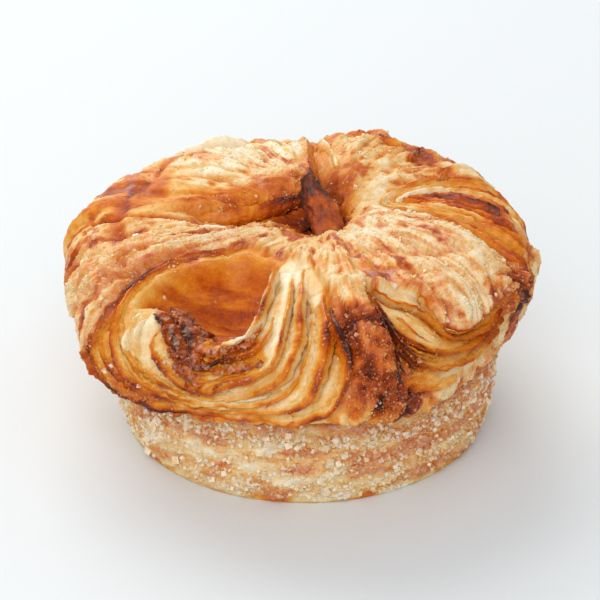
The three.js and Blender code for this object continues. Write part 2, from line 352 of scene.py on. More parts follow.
RIGHT_OPENING = [  # the edge of the whole right fan
    (287, 0.55), (287.5, 0.45), (289, 0.33), (290.5, 0.25), (294, 0.19), (303, 0.155), (316, 0.15),
    (334, 0.19), (341, 0.27), (333, 0.33), (323, 0.32), (314, 0.315), (307, 0.35), (304.5, 0.42),
    (304, 0.5), (296, 0.53), (287, 0.55),
]
BACK_TONES = [  # from the inner leaf of the back fan to its outer one
    {"crest": (0.75, 0.8, 0.7), "face": 0.6, "drop": 1.4},
    {"crest": (0.66, 0.7, 0.7), "face": (0.5, 0.56, 0.6), "drop": 1.8},
    {"crest": (0.6, 0.3, 0.66), "face": (0.3, 0.06, 0.6), "drop": 2.2},
    {"crest": (0.6, 0.5, 0.6), "face": (0.3, 0.06, 0.4), "drop": 2.4},
    {"crest": (0.6, 0.5, 0.62), "face": (0.4, 0.08, 0.5), "drop": 2.4},
    {"crest": (0.6, 0.55, 0.64), "face": (0.46, 0.1, 0.52), "drop": 1.2},
]
BACK_LEAVES = [
    leaf(round_leaf(BACK_FAN, left, right), rise=0.4, **tones)
    for (left, right), tones in zip(BACK_FAN["leaves"], BACK_TONES)
]
LIPS = [  # the edges of flaps that lie over the next one
    leaf(  # the flap at the back on the left
        through([(173, 0.6), (163, 0.72), (134, 0.79), (104, 0.79), (96, 0.7), (93, 0.55), (92, 0.4)]),
        drop=(2, 6, 7, 7, 4, 2), rise=(0, 0.5, 0.6, 0.6, 0.3, 0),
        crest=(0.5, 0.66, 0.68, 0.8, 0.5, 0.4), reach=9,
        under=0.5, thick=2.2,
    ),
    leaf(  # the flap at the front on the left
        through([(241, 0.82), (215, 0.8), (202, 0.77), (186, 0.67), (176, 0.56), (170, 0.42), (168, 0.3)]),
        # under=0.66: the dark brown under this lip is painted shade
        drop=(0, 3, 4, 4, 3, 2), rise=0.3, crest=0.16, reach=2.2, under=0.66, thick=1.4,
    ),
    leaf(
        through([(89, 0.36), (87, 0.5), (83, 0.63), (74, 0.72)]),
        drop=3, rise=0.1, crest=0.3, reach=3, thick=1.8,
    ),
    leaf(
        through([(140, 0.4), (128, 0.47), (118, 0.49), (109, 0.48)]),
        drop=1, rise=(0.5, 2.4, 3.2, 1), crest=0.2, face=0.1, reach=4, thick=1.4,
    ),
]
BACK_SLIT = [  # a narrow opening between two flaps at the back
    leaf(
        through([(86, 0.44), (87, 0.32), (90, 0.2), (95, 0.15), (99, 0.2), (101, 0.33), (100, 0.45)]),
        drop=1.2, rise=0.4, crest=(0.4, 0.6, 0.5), face=0.2, reach=3,
    ),
    leaf(
        through([(89.5, 0.45), (90, 0.33), (92.5, 0.25), (96, 0.28), (97, 0.37), (96, 0.46)]),
        drop=2.6, rise=0.2, crest=0.5, face=0.16, reach=3,
    ),
]
LEFT_SLIT = [  # and one on the left
    leaf(
        through([(165, 0.44), (166, 0.3), (169, 0.17), (175, 0.12), (180, 0.18), (182, 0.3), (181, 0.42)]),
        drop=1.2, rise=0.4, crest=(0.5, 0.66, 0.5), face=0.2, reach=3,
    ),
    leaf(
        through([(169, 0.46), (170, 0.33), (173, 0.22), (177, 0.2), (179, 0.28), (178.5, 0.4)]),
        drop=2, rise=0.2, crest=0.5, face=0.16, reach=3,
    ),
]
CRUMBLED = [  # brown flakes and torn tips that stand off the crust
    leaf(
        through([(48, 0.6), (52, 0.52), (50, 0.43)]),
        drop=0, rise=1.2, crest=0.72, face=0.5, reach=2, crumple=2,
    ),
    leaf(
        through([(36, 0.63), (30, 0.6), (33, 0.55)]),
        drop=0, rise=0.8, crest=0.66, face=0.4, reach=2, crumple=2,
    ),
    leaf(
        through([(332, 0.42), (336, 0.35), (341, 0.27), (349, 0.2)]),
        drop=1.5, rise=0.5, crest=(0.6, 0.8, 0.8, 0.7), face=0.5, reach=2, thick=1.2, crumple=1.6,
    ),
    leaf(
        through([(86, 0.44), (77, 0.47), (66, 0.5), (58, 0.52)]),
        drop=1, rise=0.5, crest=(0.4, 0.56, 0.6, 0.5), face=0.3, reach=4, thick=0.6, crumple=1.2,
    ),
]
LEAVES = {
    "front_fan": FRONT_FAN, "knot": KNOT, "right_fan": RIGHT_FAN, "back_fan": BACK_LEAVES, "lips": LIPS,
    "back_slit": BACK_SLIT, "left_slit": LEFT_SLIT, "torn_edges": CRUMBLED,
}
# Soft folds and stripes in the skin: course, half width in mm, tone, and height in mm.
FOLDS = [
    ([(279, 0.67), (300, 0.67), (314, 0.62), (324, 0.56), (333, 0.5)], 1.5, 0.54, -0.9),
    ([(272, 0.58), (280, 0.56), (288, 0.55), (295, 0.53), (300, 0.48)], 1.1, 0.1, 1.0),
    ([(272, 0.64), (290, 0.61), (306, 0.57), (320, 0.49)], 1.2, 0.5, -0.6),
    ([(173, 0.56), (160, 0.67), (134, 0.74), (108, 0.73)], 2.4, 0.64, 1.3),
    ([(186, 0.38), (187, 0.47), (190, 0.58)], 2.0, 0.54, -0.5),
    ([(206, 0.33), (202, 0.41), (199, 0.45), (196, 0.5), (194, 0.58)], 1.7, 0.72, 0.6),
    ([(206, 0.4), (204, 0.54), (206, 0.64)], 1.8, 0.7, 0.7),
    ([(299, 0.57), (304, 0.46), (312, 0.39)], 1.6, 0.66, 0.5),
    ([(10, 0.71), (20, 0.63), (10, 0.55), (354, 0.43)], 2.0, 0.74, -0.8),
    ([(139, 0.4), (150, 0.52), (162, 0.57)], 3.0, 0.5, -0.7),
    ([(160, 0.4), (157, 0.5)], 1.8, 0.1, 0.4),
    ([(163, 0.2), (162, 0.4), (160, 0.56)], 2.2, 0.44, 0.7),
    ([(118, 0.25), (116, 0.42), (121, 0.6)], 2.6, 0.08, -0.7),
    # painted shade down the back wall of the pit: a stripe with no height
    ([(72, 0.66), (60, 0.74), (50, 0.79), (38, 0.86)], 1.8, 0.5, 0),
    ([(70, 0.2), (68, 0.35), (66, 0.46)], 2.4, 0.52, -0.6),
]


def beside(points, crest):
    """How far off a crest points lie in mm, more than 0 on its right, and where along it, from 0 to 1."""
    near = np.full(len(points), 99.0)
    where = np.zeros(len(points))
    course, ups = crest["points"], crest["up"]
    low, high = course.min(axis=0) - 9, course.max(axis=0) + 9
    chosen = np.flatnonzero(np.all((points > low) & (points < high), axis=1))
    if not len(chosen):
        return near, where
    mine = points[chosen]
    best = np.full(len(mine), 1e9)
    for step in range(0, len(course) - 1, 2):
        start, end = course[step], course[min(step + 2, len(course) - 1)]
        run = end - start
        t = np.clip((mine - start) @ run / (run @ run), 0, 1)
        off = mine - start - t[:, None] * run
        far = np.sum(off * off, axis=1)
        closer = far < best
        best[closer] = far[closer]
        right = np.cross(run, ups[step])
        sign = np.sign(off @ right)
        near[chosen[closer]] = (np.sqrt(far) * sign)[closer]
        where[chosen[closer]] = (step + 2 * t[closer]) / (len(course) - 1)
    return near, where


def inside(points, angle, w, outline):
    """How far inside a closed outline points of the skin lie in mm, less than 0 outside."""
    edge = leaf(through(outline, 240), 0, 0, 0)
    odd = np.zeros(len(angle), dtype=bool)
    for a0, w0, a1, w1 in zip(edge["angle"][:-1], edge["w"][:-1], edge["angle"][1:], edge["w"][1:]):
        spans = (w0 > w) != (w1 > w)
        if w1 != w0:
            odd ^= spans & (angle < a0 + (a1 - a0) * (w - w0) / (w1 - w0))
    off = np.abs(beside(points, edge)[0])
    return np.where(odd, off, -off)


def rough(points, size, octaves, seed):
    """Soft noise of about -1 to 1 at points in mm, with its largest lumps size mm apart."""
    places = (points / size + seed * 7.31).tolist()
    return np.array([noise.fractal(place, 1.0, 2.0, octaves) for place in places])


def triangles_of(mesh):
    """The triangles of a mesh as corner numbers, and its points in mm."""
    mesh.calc_loop_triangles()
    corners = np.empty(len(mesh.loop_triangles) * 3, dtype=np.int32)
    mesh.loop_triangles.foreach_get("vertices", corners)
    places = np.empty(len(mesh.vertices) * 3)
    mesh.vertices.foreach_get("co", places)
    return corners.reshape(-1, 3), places.reshape(-1, 3) / MM


def close_seams(piece):
    """Merges the grid's edges where they meet, turns the faces outwards and smooths them."""
    bpy.ops.object.select_all(action="DESELECT")
    piece.select_set(True)
    bpy.context.view_layer.objects.active = piece
    bpy.ops.object.mode_set(mode="EDIT")
    bpy.ops.mesh.select_all(action="SELECT")
    bpy.ops.mesh.remove_doubles(threshold=0.0000005)
    bpy.ops.mesh.normals_make_consistent(inside=False)
    bpy.ops.object.mode_set(mode="OBJECT")
    corners, places = triangles_of(piece.data)
    a, b, c = (places[corners[:, k]] for k in range(3))
    if np.sum(a * np.cross(b, c)) < 0:  # a deep hollow can fool the step before
        piece.data.flip_normals()
    bpy.ops.object.shade_smooth()


def shaped_grid(name, columns, rows, shape):
    """A grid primitive moved into shape, its seams closed. shape takes the grid's u and v, each 0 to 1, and
    returns its points in mm, its two lengths in mm for the UV map, and its marks, one value each a point."""
    bpy.ops.object.select_all(action="DESELECT")
    bpy.ops.mesh.primitive_grid_add(x_subdivisions=columns - 1, y_subdivisions=rows - 1, size=2)
    piece = bpy.context.object
    piece.name = name
    mesh = piece.data
    flat = np.empty(len(mesh.vertices) * 3)
    mesh.vertices.foreach_get("co", flat)
    flat = flat.reshape(-1, 3)
    u, v = np.round((flat[:, :2].T + 1) / 2, 6)
    points, along, across, marks = shape(u, v)
    mesh.vertices.foreach_set("co", (points * MM).ravel())
    corners = np.empty(len(mesh.loops), dtype=np.int32)
    mesh.loops.foreach_get("vertex_index", corners)
    lengths = np.stack([along, across], axis=-1)[corners]
    mesh.uv_layers[0].name = "grain"
    mesh.uv_layers["grain"].uv.foreach_set("vector", lengths.ravel())
    for mark, values in marks.items():
        attribute = mesh.attributes.new(mark, "FLOAT", "POINT")
        attribute.data.foreach_set("value", np.broadcast_to(values, along.shape))
    mesh.update()
    close_seams(piece)
    return piece


# Where the oven scorched the crust or left it pale, and a few spots of painted shade in the pit and on the
# slope into it: x, y, z and radius in mm, and how much darker it is.
BAKED_AND_SHADED_SPOTS = [
    (44, -11, 36, 6, 0.36),
    (39, -15, 35, 5, 0.12),
    (10, -35, 40, 5, 0.36),
    (13, -39, 37, 6, 0.5),
    (17, -42, 29, 7, 0.46),
    (-30, -35, 22, 7, 0.24),
    (-38, -29, 22, 6, 0.2),
    (-32, -26, 32, 11, 0.07),
    (18, 33, 47, 6, 0.18),
    # painted shade on the slope of the back right flap down into the pit
    (9, 19, 44, 7, 0.18),
    (-2, 16, 44, 6, 0.12),
    (2, 20, 45, 5, 0.15),
    # painted shade deep in the pit
    (4, 10, 30, 12, 0.35),
    (-35, 19, 41, 9, 0.3),
    (-20, 30, 44, 9, -0.1),
    (18, 14, 46, 8, -0.2),
    (-10, 38, 44, 12, -0.12),
    (-15, -22, 28, 12, 0.14),
    (20, 41, 45, 5, 0.1),
    (9, 31, 46, 8, -0.06),
    (14, 0, 44, 10, -0.1),
    (22, -12, 43, 9, 0.06),
    (36, -17, 41, 8, -0.08),
    (-40, 1, 38, 9, -0.08),
]


def baked_and_shaded(points):
    """How much darker or paler each point is: what the oven did, and painted shade in and by the pit."""
    total = np.zeros(len(points))
    for x, y, z, reach, amount in BAKED_AND_SHADED_SPOTS:
        total += amount * np.exp(-np.sum((points - (x, y, z)) ** 2, axis=1) / reach**2)
    return total


CRUSTY = [  # where boiled sugar set as a knobbly crust: x, y, z and radius in mm, and how thick it is
    (11, -37, 39, 5, 0.9),
    (14, -41, 33, 6, 1.0),
    (18, -42, 27, 8, 0.9),
    (-23, -35, 35, 5, 0.9),
    (42, -12, 36, 7, 1.0),
    (-40, -14, 36, 7, 0.5),
    (-45, -4, 32, 9, 0.45),
    (-30, -4, 41, 9, 0.3),
    (-27, -36, 23, 8, 0.9),
    (-38, -29, 22, 7, 0.8),
    (-14, 11, 43, 8, 0.4),
    (0, 16, 45, 6, 0.7),
]


def knobbly(points):
    """How thick the knobbly sugar crust is at points in mm."""
    total = np.zeros(len(points))
    for x, y, z, reach, amount in CRUSTY:
        total += amount * np.exp(-np.sum((points - (x, y, z)) ** 2, axis=1) / reach**2)
    return np.minimum(total, 1)


HOLLOW_HEART = (-15, -22, 38)  # mm, the deepest place of the front pocket
CROWN_FLOOR = 0.03  # the share of the grid that closes the pit's floor, and as much runs down into the drum


def note_crests(skin):
    """Notes how the skin sinks beside the crests, the nearest crest, the leaf it is the face of, and lips."""
    angle, w = skin.angle, skin.w
    skin.sink, skin.under_lip, skin.lip_tone = (np.zeros_like(angle) for _ in range(3))
    skin.along, skin.across, skin.face = w * 80, angle * 40, np.full_like(angle, 0.2)
    skin.off_face, skin.off_crest = np.full_like(angle, 99.0), np.full_like(angle, 99.0)
    skin.crest_tone, skin.crest_thick = np.zeros_like(angle), np.ones_like(angle)
    for crest in sum(LEAVES.values(), []):
        off, place = beside(skin.plain, crest)
        inner = np.interp(place, [0, 0.06, 0.94, 1], [0, 1, 1, 0])
        fall = np.clip(1 - off / crest["reach"], 0, 1) * (off > 0) * inner
        skin.sink = np.maximum(skin.sink, np.interp(place, crest["share"], crest["drop"]) * fall**1.4)
        near = np.abs(off) < np.abs(skin.off_crest)
        skin.off_crest = np.where(near, off, skin.off_crest)
        tone = np.interp(place, crest["share"], crest["crest"])
        skin.crest_tone = np.where(near, tone, skin.crest_tone)
        thick = np.interp(place, crest["share"], crest["thick"]) * inner
        skin.crest_thick = np.where(near, thick, skin.crest_thick)
        if crest["under"]:
            skin.under_lip = np.maximum(skin.under_lip, ease(fall, 0.05, 0.5))
            skin.lip_tone = np.where(fall > 0.05, crest["under"], skin.lip_tone)
        if crest["face"] is not None:
            mine = (off < 0.3) & (np.abs(off) < skin.off_face) & (inner > 0)
            skin.off_face = np.where(mine, np.abs(off), skin.off_face)
            skin.along = np.where(mine, place * crest["along"][-1], skin.along)
            skin.across = np.where(mine, off + 40, skin.across)
            skin.face = np.where(mine, np.interp(place, crest["share"], crest["face"]), skin.face)


def note_openings(skin):
    """Notes how deep in the front pocket the skin is, how far out in the back fan, and whether in any fan."""
    skin.pocket = inside(skin.plain, skin.angle, skin.w, FRONT_HOLLOW)
    skin.back_share = fan_share(BACK_FAN, skin.angle, skin.w)
    in_front = ease(inside(skin.plain, skin.angle, skin.w, FRONT_OUTLINE), -0.2, 0.2)
    in_right = ease(inside(skin.plain, skin.angle, skin.w, RIGHT_OPENING), -0.2, 0.2)
    in_back = ease(1 - skin.back_share, -0.02, 0.02) * (skin.off_face < 50)
    skin.in_fan = np.maximum(np.maximum(in_front, in_right), in_back)
    skin.on_flap = 1 - skin.in_fan


def note_grain(skin):
    """Notes the unevenness of the skin. Away from the pit it is drawn out towards it, as the folds run."""
    plain = skin.plain
    skin.outer = ease(np.hypot(plain[:, 0] - PIT["x"], plain[:, 1] - PIT["y"]), 10, 26)
    radial = np.stack([skin.angle * 34, skin.w * 16, skin.angle * 0], axis=-1)
    once_round = np.array([2 * np.pi * 34, 0, 0])
    near_seam = ease(skin.angle, 5.9, 2 * np.pi)

    def grained(size, octaves, seed):
        drawn_out = rough(radial, size, octaves, seed + 0.5)
        meeting = rough(radial - once_round, size, octaves, seed + 0.5)
        return mix(rough(plain, size, octaves, seed), mix(drawn_out, meeting, near_seam), skin.outer)

    skin.folds = grained(6, 3, 1)
    skin.creases = np.maximum(1 - np.abs(grained(4.5, 2, 2)) * 3, 0)
    skin.blisters = rough(plain, 2.4, 3, 3)
    skin.fine = rough(plain, 1.2, 3, 4)
    skin.wrinkles = rough(plain * (0.3, 0.9, 1.3), 4, 3, 7)
    skin.crust = knobbly(plain)
    skin.patches = ease(grained(5.5, 4, 5) + 0.4 * rough(plain, 2.5, 3, 6), 0, 0.36)
    sheet = 2.6 * (grained(9, 3, 18) + 1)  # thin sheets that end on the skin, one above the other
    skin.sheets = np.floor(sheet) + ease(sheet % 1, 0.78, 1)
    skin.torn = ease(sheet % 1, 0.5, 0.75) * (1 - ease(sheet % 1, 0.93, 1))


def crown_relief(skin):
    """How far the skin stands off the smooth crown in mm, before its folds and stripes."""
    deep = np.exp(-np.sum((skin.plain - HOLLOW_HEART) ** 2, axis=1) / 11**2)
    sink = np.maximum(skin.sink, ease(skin.pocket, 0, 3) * (4 + 7 * deep))
    sink -= 0.6 * skin.wrinkles * ease(skin.pocket, 0.5, 4)
    sink = np.maximum(sink, 2 * ease(-skin.back_share, -0.06, 0.3))
    uneven = 0.9 * skin.folds - 0.7 * skin.creases + 0.5 * rough(skin.plain, 9, 2, 13)
    uneven = (0.3 + 0.7 * skin.outer) * uneven + (0.4 * skin.sheets - 1) * skin.outer
    uneven = PILLOW + uneven + (0.22 + 1.8 * skin.crust) * skin.blisters
    lift = skin.on_flap * ease(skin.w, 0, 0.1) * uneven - sink - 0.3
    in_fan = 0.3 * rough(skin.plain, 3, 2, 8) + 0.9 * skin.crust * skin.blisters
    lift += (0.14 + 0.8 * skin.crust) * skin.fine + skin.in_fan * in_fan
    off_front = np.abs(turn_between(np.radians(246), skin.angle))
    return lift - 3.5 * (1 - ease(skin.w, 0.01, 0.09)) * (1 - ease(off_front, 0.6, 0.8))


def note_folds(skin):
    """Notes the soft folds and stripes: their height in mm, their tone, and how much of it shows."""
    skin.fold_height, skin.fold_tone, skin.fold_mask = (np.zeros_like(skin.angle) for _ in range(3))
    for places, wide, tone, height in FOLDS:
        off, place = beside(skin.plain, leaf(through(places), 0, 0, 0))
        inner = np.interp(place, [0, 0.15, 0.85, 1], [0, 1, 1, 0])
        mask = np.exp(-((off / wide) ** 2)) * inner * skin.on_flap
        skin.fold_height += height * mask
        skin.fold_tone = np.where(mask > skin.fold_mask, tone, skin.fold_tone)
        skin.fold_mask = np.maximum(mask, skin.fold_mask)


def close_ends(points, w, v):
    """Runs the rim down into the drum and closes the pit with a floor."""
    into_drum = np.clip((CROWN_FLOOR - v) / CROWN_FLOOR, 0, 1)
    points = mix(points, np.array([0, 0, 17.0]), into_drum[:, None])
    fill = PIT["floor"] + 2 * rough(points, 4, 3, 17)
    points[:, 2] = np.where(w > 0.75, np.logaddexp(points[:, 2], fill), points[:, 2])
    to_floor = np.clip((v - 1 + CROWN_FLOOR) / CROWN_FLOOR, 0, 1)
    return mix(points, np.array([PIT["x"], PIT["y"], PIT["floor"]]), to_floor[:, None])


def crown_tone(skin, points):
    """How far each point of the crown is baked, and the shade and highlight painted into it."""
    # painted shade in the sunken creases and a painted highlight on the raised blisters
    flap = 0.18 + 0.38 * skin.patches + 0.1 * skin.creases - 0.12 * skin.blisters
    flap += 0.24 * skin.crust + 0.22 * skin.torn * skin.outer
    layers = rough(np.stack([skin.along, skin.across * 3, skin.w * 0], axis=-1), 6, 2, 9)
    fan = skin.face + 0.14 * rough(skin.plain, 7, 2, 7) + 0.08 * layers
    tone = mix(flap, fan, skin.in_fan)
    # the front pocket: its own amber glaze, darkened further deep inside as painted shade
    tone = mix(tone, 0.6 + 0.3 * skin.wrinkles, ease(skin.pocket, 0.3, 2.5))
    # the dough under a lip: the amber of the inner layer under the back lip, painted shade under the
    # front-left lip
    tone = mix(tone, skin.lip_tone + 0.15 * rough(skin.plain, 6, 2, 12), skin.under_lip)
    tone = mix(tone, skin.fold_tone + 0.2 * rough(skin.plain, 4, 3, 14), 0.8 * skin.fold_mask)
    browned = np.exp(-((skin.off_crest / (0.4 + 0.5 * skin.crest_thick)) ** 2))
    browned = np.clip(browned * (0.7 + 0.6 * rough(skin.plain, 3, 2, 11)), 0, 1)
    tone = mix(tone, np.maximum(tone, skin.crest_tone), browned) + baked_and_shaded(points)
    # painted shade: the pit's walls darken towards its floor
    tone += 0.5 * ease(skin.w, 0.8, 0.93)
    tone -= 0.35 * np.maximum(tone - 0.6, 0)
    under_rim = (1 - ease(skin.w, 0.03, 0.1)) * (1 - ease(np.sin(skin.angle), -0.6, 0))
    return mix(tone, 0.56 + 0.3 * rough(skin.plain, 5, 3, 15), under_rim)


def sugared_side(angle):
    """How thick the sugar lies round the crown, 0 to 1."""
    most = 0.5 * bell(angle, 325, 30) + 0.45 * bell(angle, 200, 18) + 0.2 * bell(angle, 125, 14)
    return 0.3 + most - 0.3 * bell(angle, 160, 14)


def crown_shape(u, v):
    w = np.clip((v - CROWN_FLOOR) / (1 - 2 * CROWN_FLOOR), 0, 1)
    skin = SimpleNamespace(angle=u * 2 * np.pi, w=w)
    skin.plain = crown_point(skin.angle, w, 0)
    note_crests(skin)
    note_openings(skin)
    note_grain(skin)
    note_folds(skin)
    lift = crown_relief(skin) + skin.fold_height
    points = close_ends(crown_point(skin.angle, w, lift), w, v)
    tone = crown_tone(skin, points)
    sugar = skin.on_flap * ease(w, 0.02, 0.2) * (1 - ease(w, 0.72, 0.9)) * (1 - ease(tone, 0.35, 0.75))
    glaze = 0.15 + 0.6 * skin.patches - 0.2 * ease(skin.pocket, 0, 4) + 0.4 * skin.in_fan
    marks = {
        "tone": tone,
        "glaze": np.clip(glaze, 0, 1),
        "sugar": np.clip(sugar * sugared_side(skin.angle), 0, 1),
    }
    return points, skin.along, skin.across, marks


crown = shaped_grid("crown", 590, 166, crown_shape)

CRUST_TONES = [  # how far it is baked, and its colour
    (0.0, (240, 229, 204)),
    (0.14, (234, 212, 170)),
    (0.28, (226, 182, 106)),
    (0.42, (220, 146, 32)),
    (0.56, (208, 106, 4)),
    (0.7, (174, 68, 6)),
    (0.86, (106, 38, 12)),
    (1.0, (54, 22, 16)),
]
SUGAR_COAT = (236, 214, 188)


def linear(colour):
    """An 8-bit display colour as the linear values that Blender's sockets hold."""
    return tuple((c / 255 / 12.92 if c < 10.3 else ((c / 255 + 0.055) / 1.055) ** 2.4) for c in colour) + (1,)


def maths(tree, kind, *values):
    """A Math node; each value is a number or a socket."""
    node = tree.nodes.new("ShaderNodeMath")
    node.operation = kind
    for socket, value in zip(node.inputs, values):
        if isinstance(value, (int, float)):
            socket.default_value = value
        else:
            tree.links.new(value, socket)
    return node.outputs[0]


def blotches(tree, vector, scale, detail, stretch=(1, 1, 1)):
    """A noise texture about 0, its pattern stretched along the axes."""
    turned = tree.nodes.new("ShaderNodeMapping")
    turned.inputs["Scale"].default_value = stretch
    tree.links.new(vector, turned.inputs["Vector"])
    spots = tree.nodes.new("ShaderNodeTexNoise")
    spots.inputs["Scale"].default_value = scale
    spots.inputs["Detail"].default_value = detail
    spots.inputs["Roughness"].default_value = 0.6
    tree.links.new(turned.outputs["Vector"], spots.inputs["Vector"])
    return maths(tree, "SUBTRACT", spots.outputs["Fac"], 0.5)


def baked_crust():
    """The node group of every crust here: from a piece's marks it makes its colour, gloss and height."""
    tree = bpy.data.node_groups.new("baked crust", "ShaderNodeTree")
    for name, usual in (("Streaks", 0.2), ("Mottle", 0.4), ("Speckle", 0.12)):
        tree.interface.new_socket(name, in_out="INPUT", socket_type="NodeSocketFloat").default_value = usual
    tree.interface.new_socket("Colour", in_out="OUTPUT", socket_type="NodeSocketColor")
    for name in ("Roughness", "Coat", "Height"):
        tree.interface.new_socket(name, in_out="OUTPUT", socket_type="NodeSocketFloat")
    given = tree.nodes.new("NodeGroupInput").outputs
    result = tree.nodes.new("NodeGroupOutput").inputs
    marks = {}
    for mark in ("tone", "glaze", "sugar"):
        node = tree.nodes.new("ShaderNodeAttribute")
        node.attribute_name = mark
        marks[mark] = node.outputs["Fac"]
    place = tree.nodes.new("ShaderNodeTexCoord").outputs
    mottle = blotches(tree, place["Object"], 260, 5)
    streaks = blotches(tree, place["UV"], 1, 4, (0.22, 2.4, 1))
    speckle = blotches(tree, place["Object"], 1500, 3)
    tone = maths(tree, "MULTIPLY_ADD", mottle, given["Mottle"], marks["tone"])
    tone = maths(tree, "MULTIPLY_ADD", streaks, given["Streaks"], tone)
    tone = maths(tree, "MULTIPLY_ADD", speckle, given["Speckle"], tone)
    ramp = tree.nodes.new("ShaderNodeValToRGB")
    ramp.color_ramp.interpolation = "B_SPLINE"
    while len(ramp.color_ramp.elements) < len(CRUST_TONES):
        ramp.color_ramp.elements.new(0.5)
    for element, (at, colour) in zip(ramp.color_ramp.elements, CRUST_TONES):
        element.position = at
        element.color = linear(colour)
    tree.links.new(tone, ramp.inputs["Fac"])
    coat = tree.nodes.new("ShaderNodeMix")
    coat.data_type = "RGBA"
    coat.inputs["B"].default_value = linear(SUGAR_COAT)
    grains = maths(tree, "MULTIPLY_ADD", blotches(tree, place["Object"], 900, 3), 2.4, 0.45)
    tree.links.new(maths(tree, "MULTIPLY", marks["sugar"], grains), coat.inputs["Factor"])
    tree.links.new(ramp.outputs["Color"], coat.inputs["A"])
    tree.links.new(coat.outputs["Result"], result["Colour"])
    gloss = maths(tree, "MULTIPLY_ADD", marks["glaze"], -0.26, 0.64)
    tree.links.new(maths(tree, "MULTIPLY_ADD", mottle, 0.3, gloss), result["Roughness"])
    wet = maths(tree, "MAXIMUM", maths(tree, "MULTIPLY_ADD", mottle, 3, 0.15), 0)
    tree.links.new(maths(tree, "MULTIPLY", marks["glaze"], wet), result["Coat"])
    height = maths(tree, "MULTIPLY_ADD", speckle, 0.5, maths(tree, "MULTIPLY", streaks, 0.6))
    tree.links.new(height, result["Height"])
    return tree


BAKED_CRUST = baked_crust()


def crust_material(name, streaks, mottle, speckle, bump):
    """A crust with its own strength of streaks, mottling, speckle and bumps."""
    material = bpy.data.materials.new(name)
    material.use_nodes = True
    tree = material.node_tree
    surface = tree.nodes["Principled BSDF"]
    crust = tree.nodes.new("ShaderNodeGroup")
    crust.node_tree = BAKED_CRUST
    crust.inputs["Streaks"].default_value = streaks
    crust.inputs["Mottle"].default_value = mottle
    crust.inputs["Speckle"].default_value = speckle
    tree.links.new(crust.outputs["Colour"], surface.inputs["Base Color"])
    tree.links.new(crust.outputs["Roughness"], surface.inputs["Roughness"])
    tree.links.new(crust.outputs["Coat"], surface.inputs["Coat Weight"])
    bumps = tree.nodes.new("ShaderNodeBump")
    bumps.inputs["Strength"].default_value = bump
    bumps.inputs["Distance"].default_value = 0.0005
    tree.links.new(crust.outputs["Height"], bumps.inputs["Height"])
    tree.links.new(bumps.outputs["Normal"], surface.inputs["Normal"])
    surface.inputs["Specular IOR Level"].default_value = 0.2
    surface.inputs["Subsurface Weight"].default_value = 0.2
    surface.inputs["Subsurface Radius"].default_value = (1.0, 0.45, 0.15)
    surface.inputs["Subsurface Scale"].default_value = 0.0015
    surface.inputs["Coat Roughness"].default_value = 0.22
    return material


def finish(piece, material):
    """Gives a piece its crust and makes it part of the pastry."""
    piece.data.materials.clear()
    piece.data.materials.append(material)
    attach(piece, "root")
    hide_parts("kouign_amann")


finish(crown, crust_material("flap skin", 0.2, 0.36, 0.2, 0.5))

# ------------------------------------------------------------------ the leaves
# Where two flaps meet, the cut edge opens: bundles of paper-thin layers stand in the dough as nested curved
# leaves, pale and buttery on their faces, with crests that the oven browned and the melted sugar glazed. The
# knot is the same leaves, scorched and crumpled in the heart of the front fan.

LEAF = {"crest": 0.5, "root": 1.7, "length": 7}  # mm: how thick at the crest and at the root, and how tall


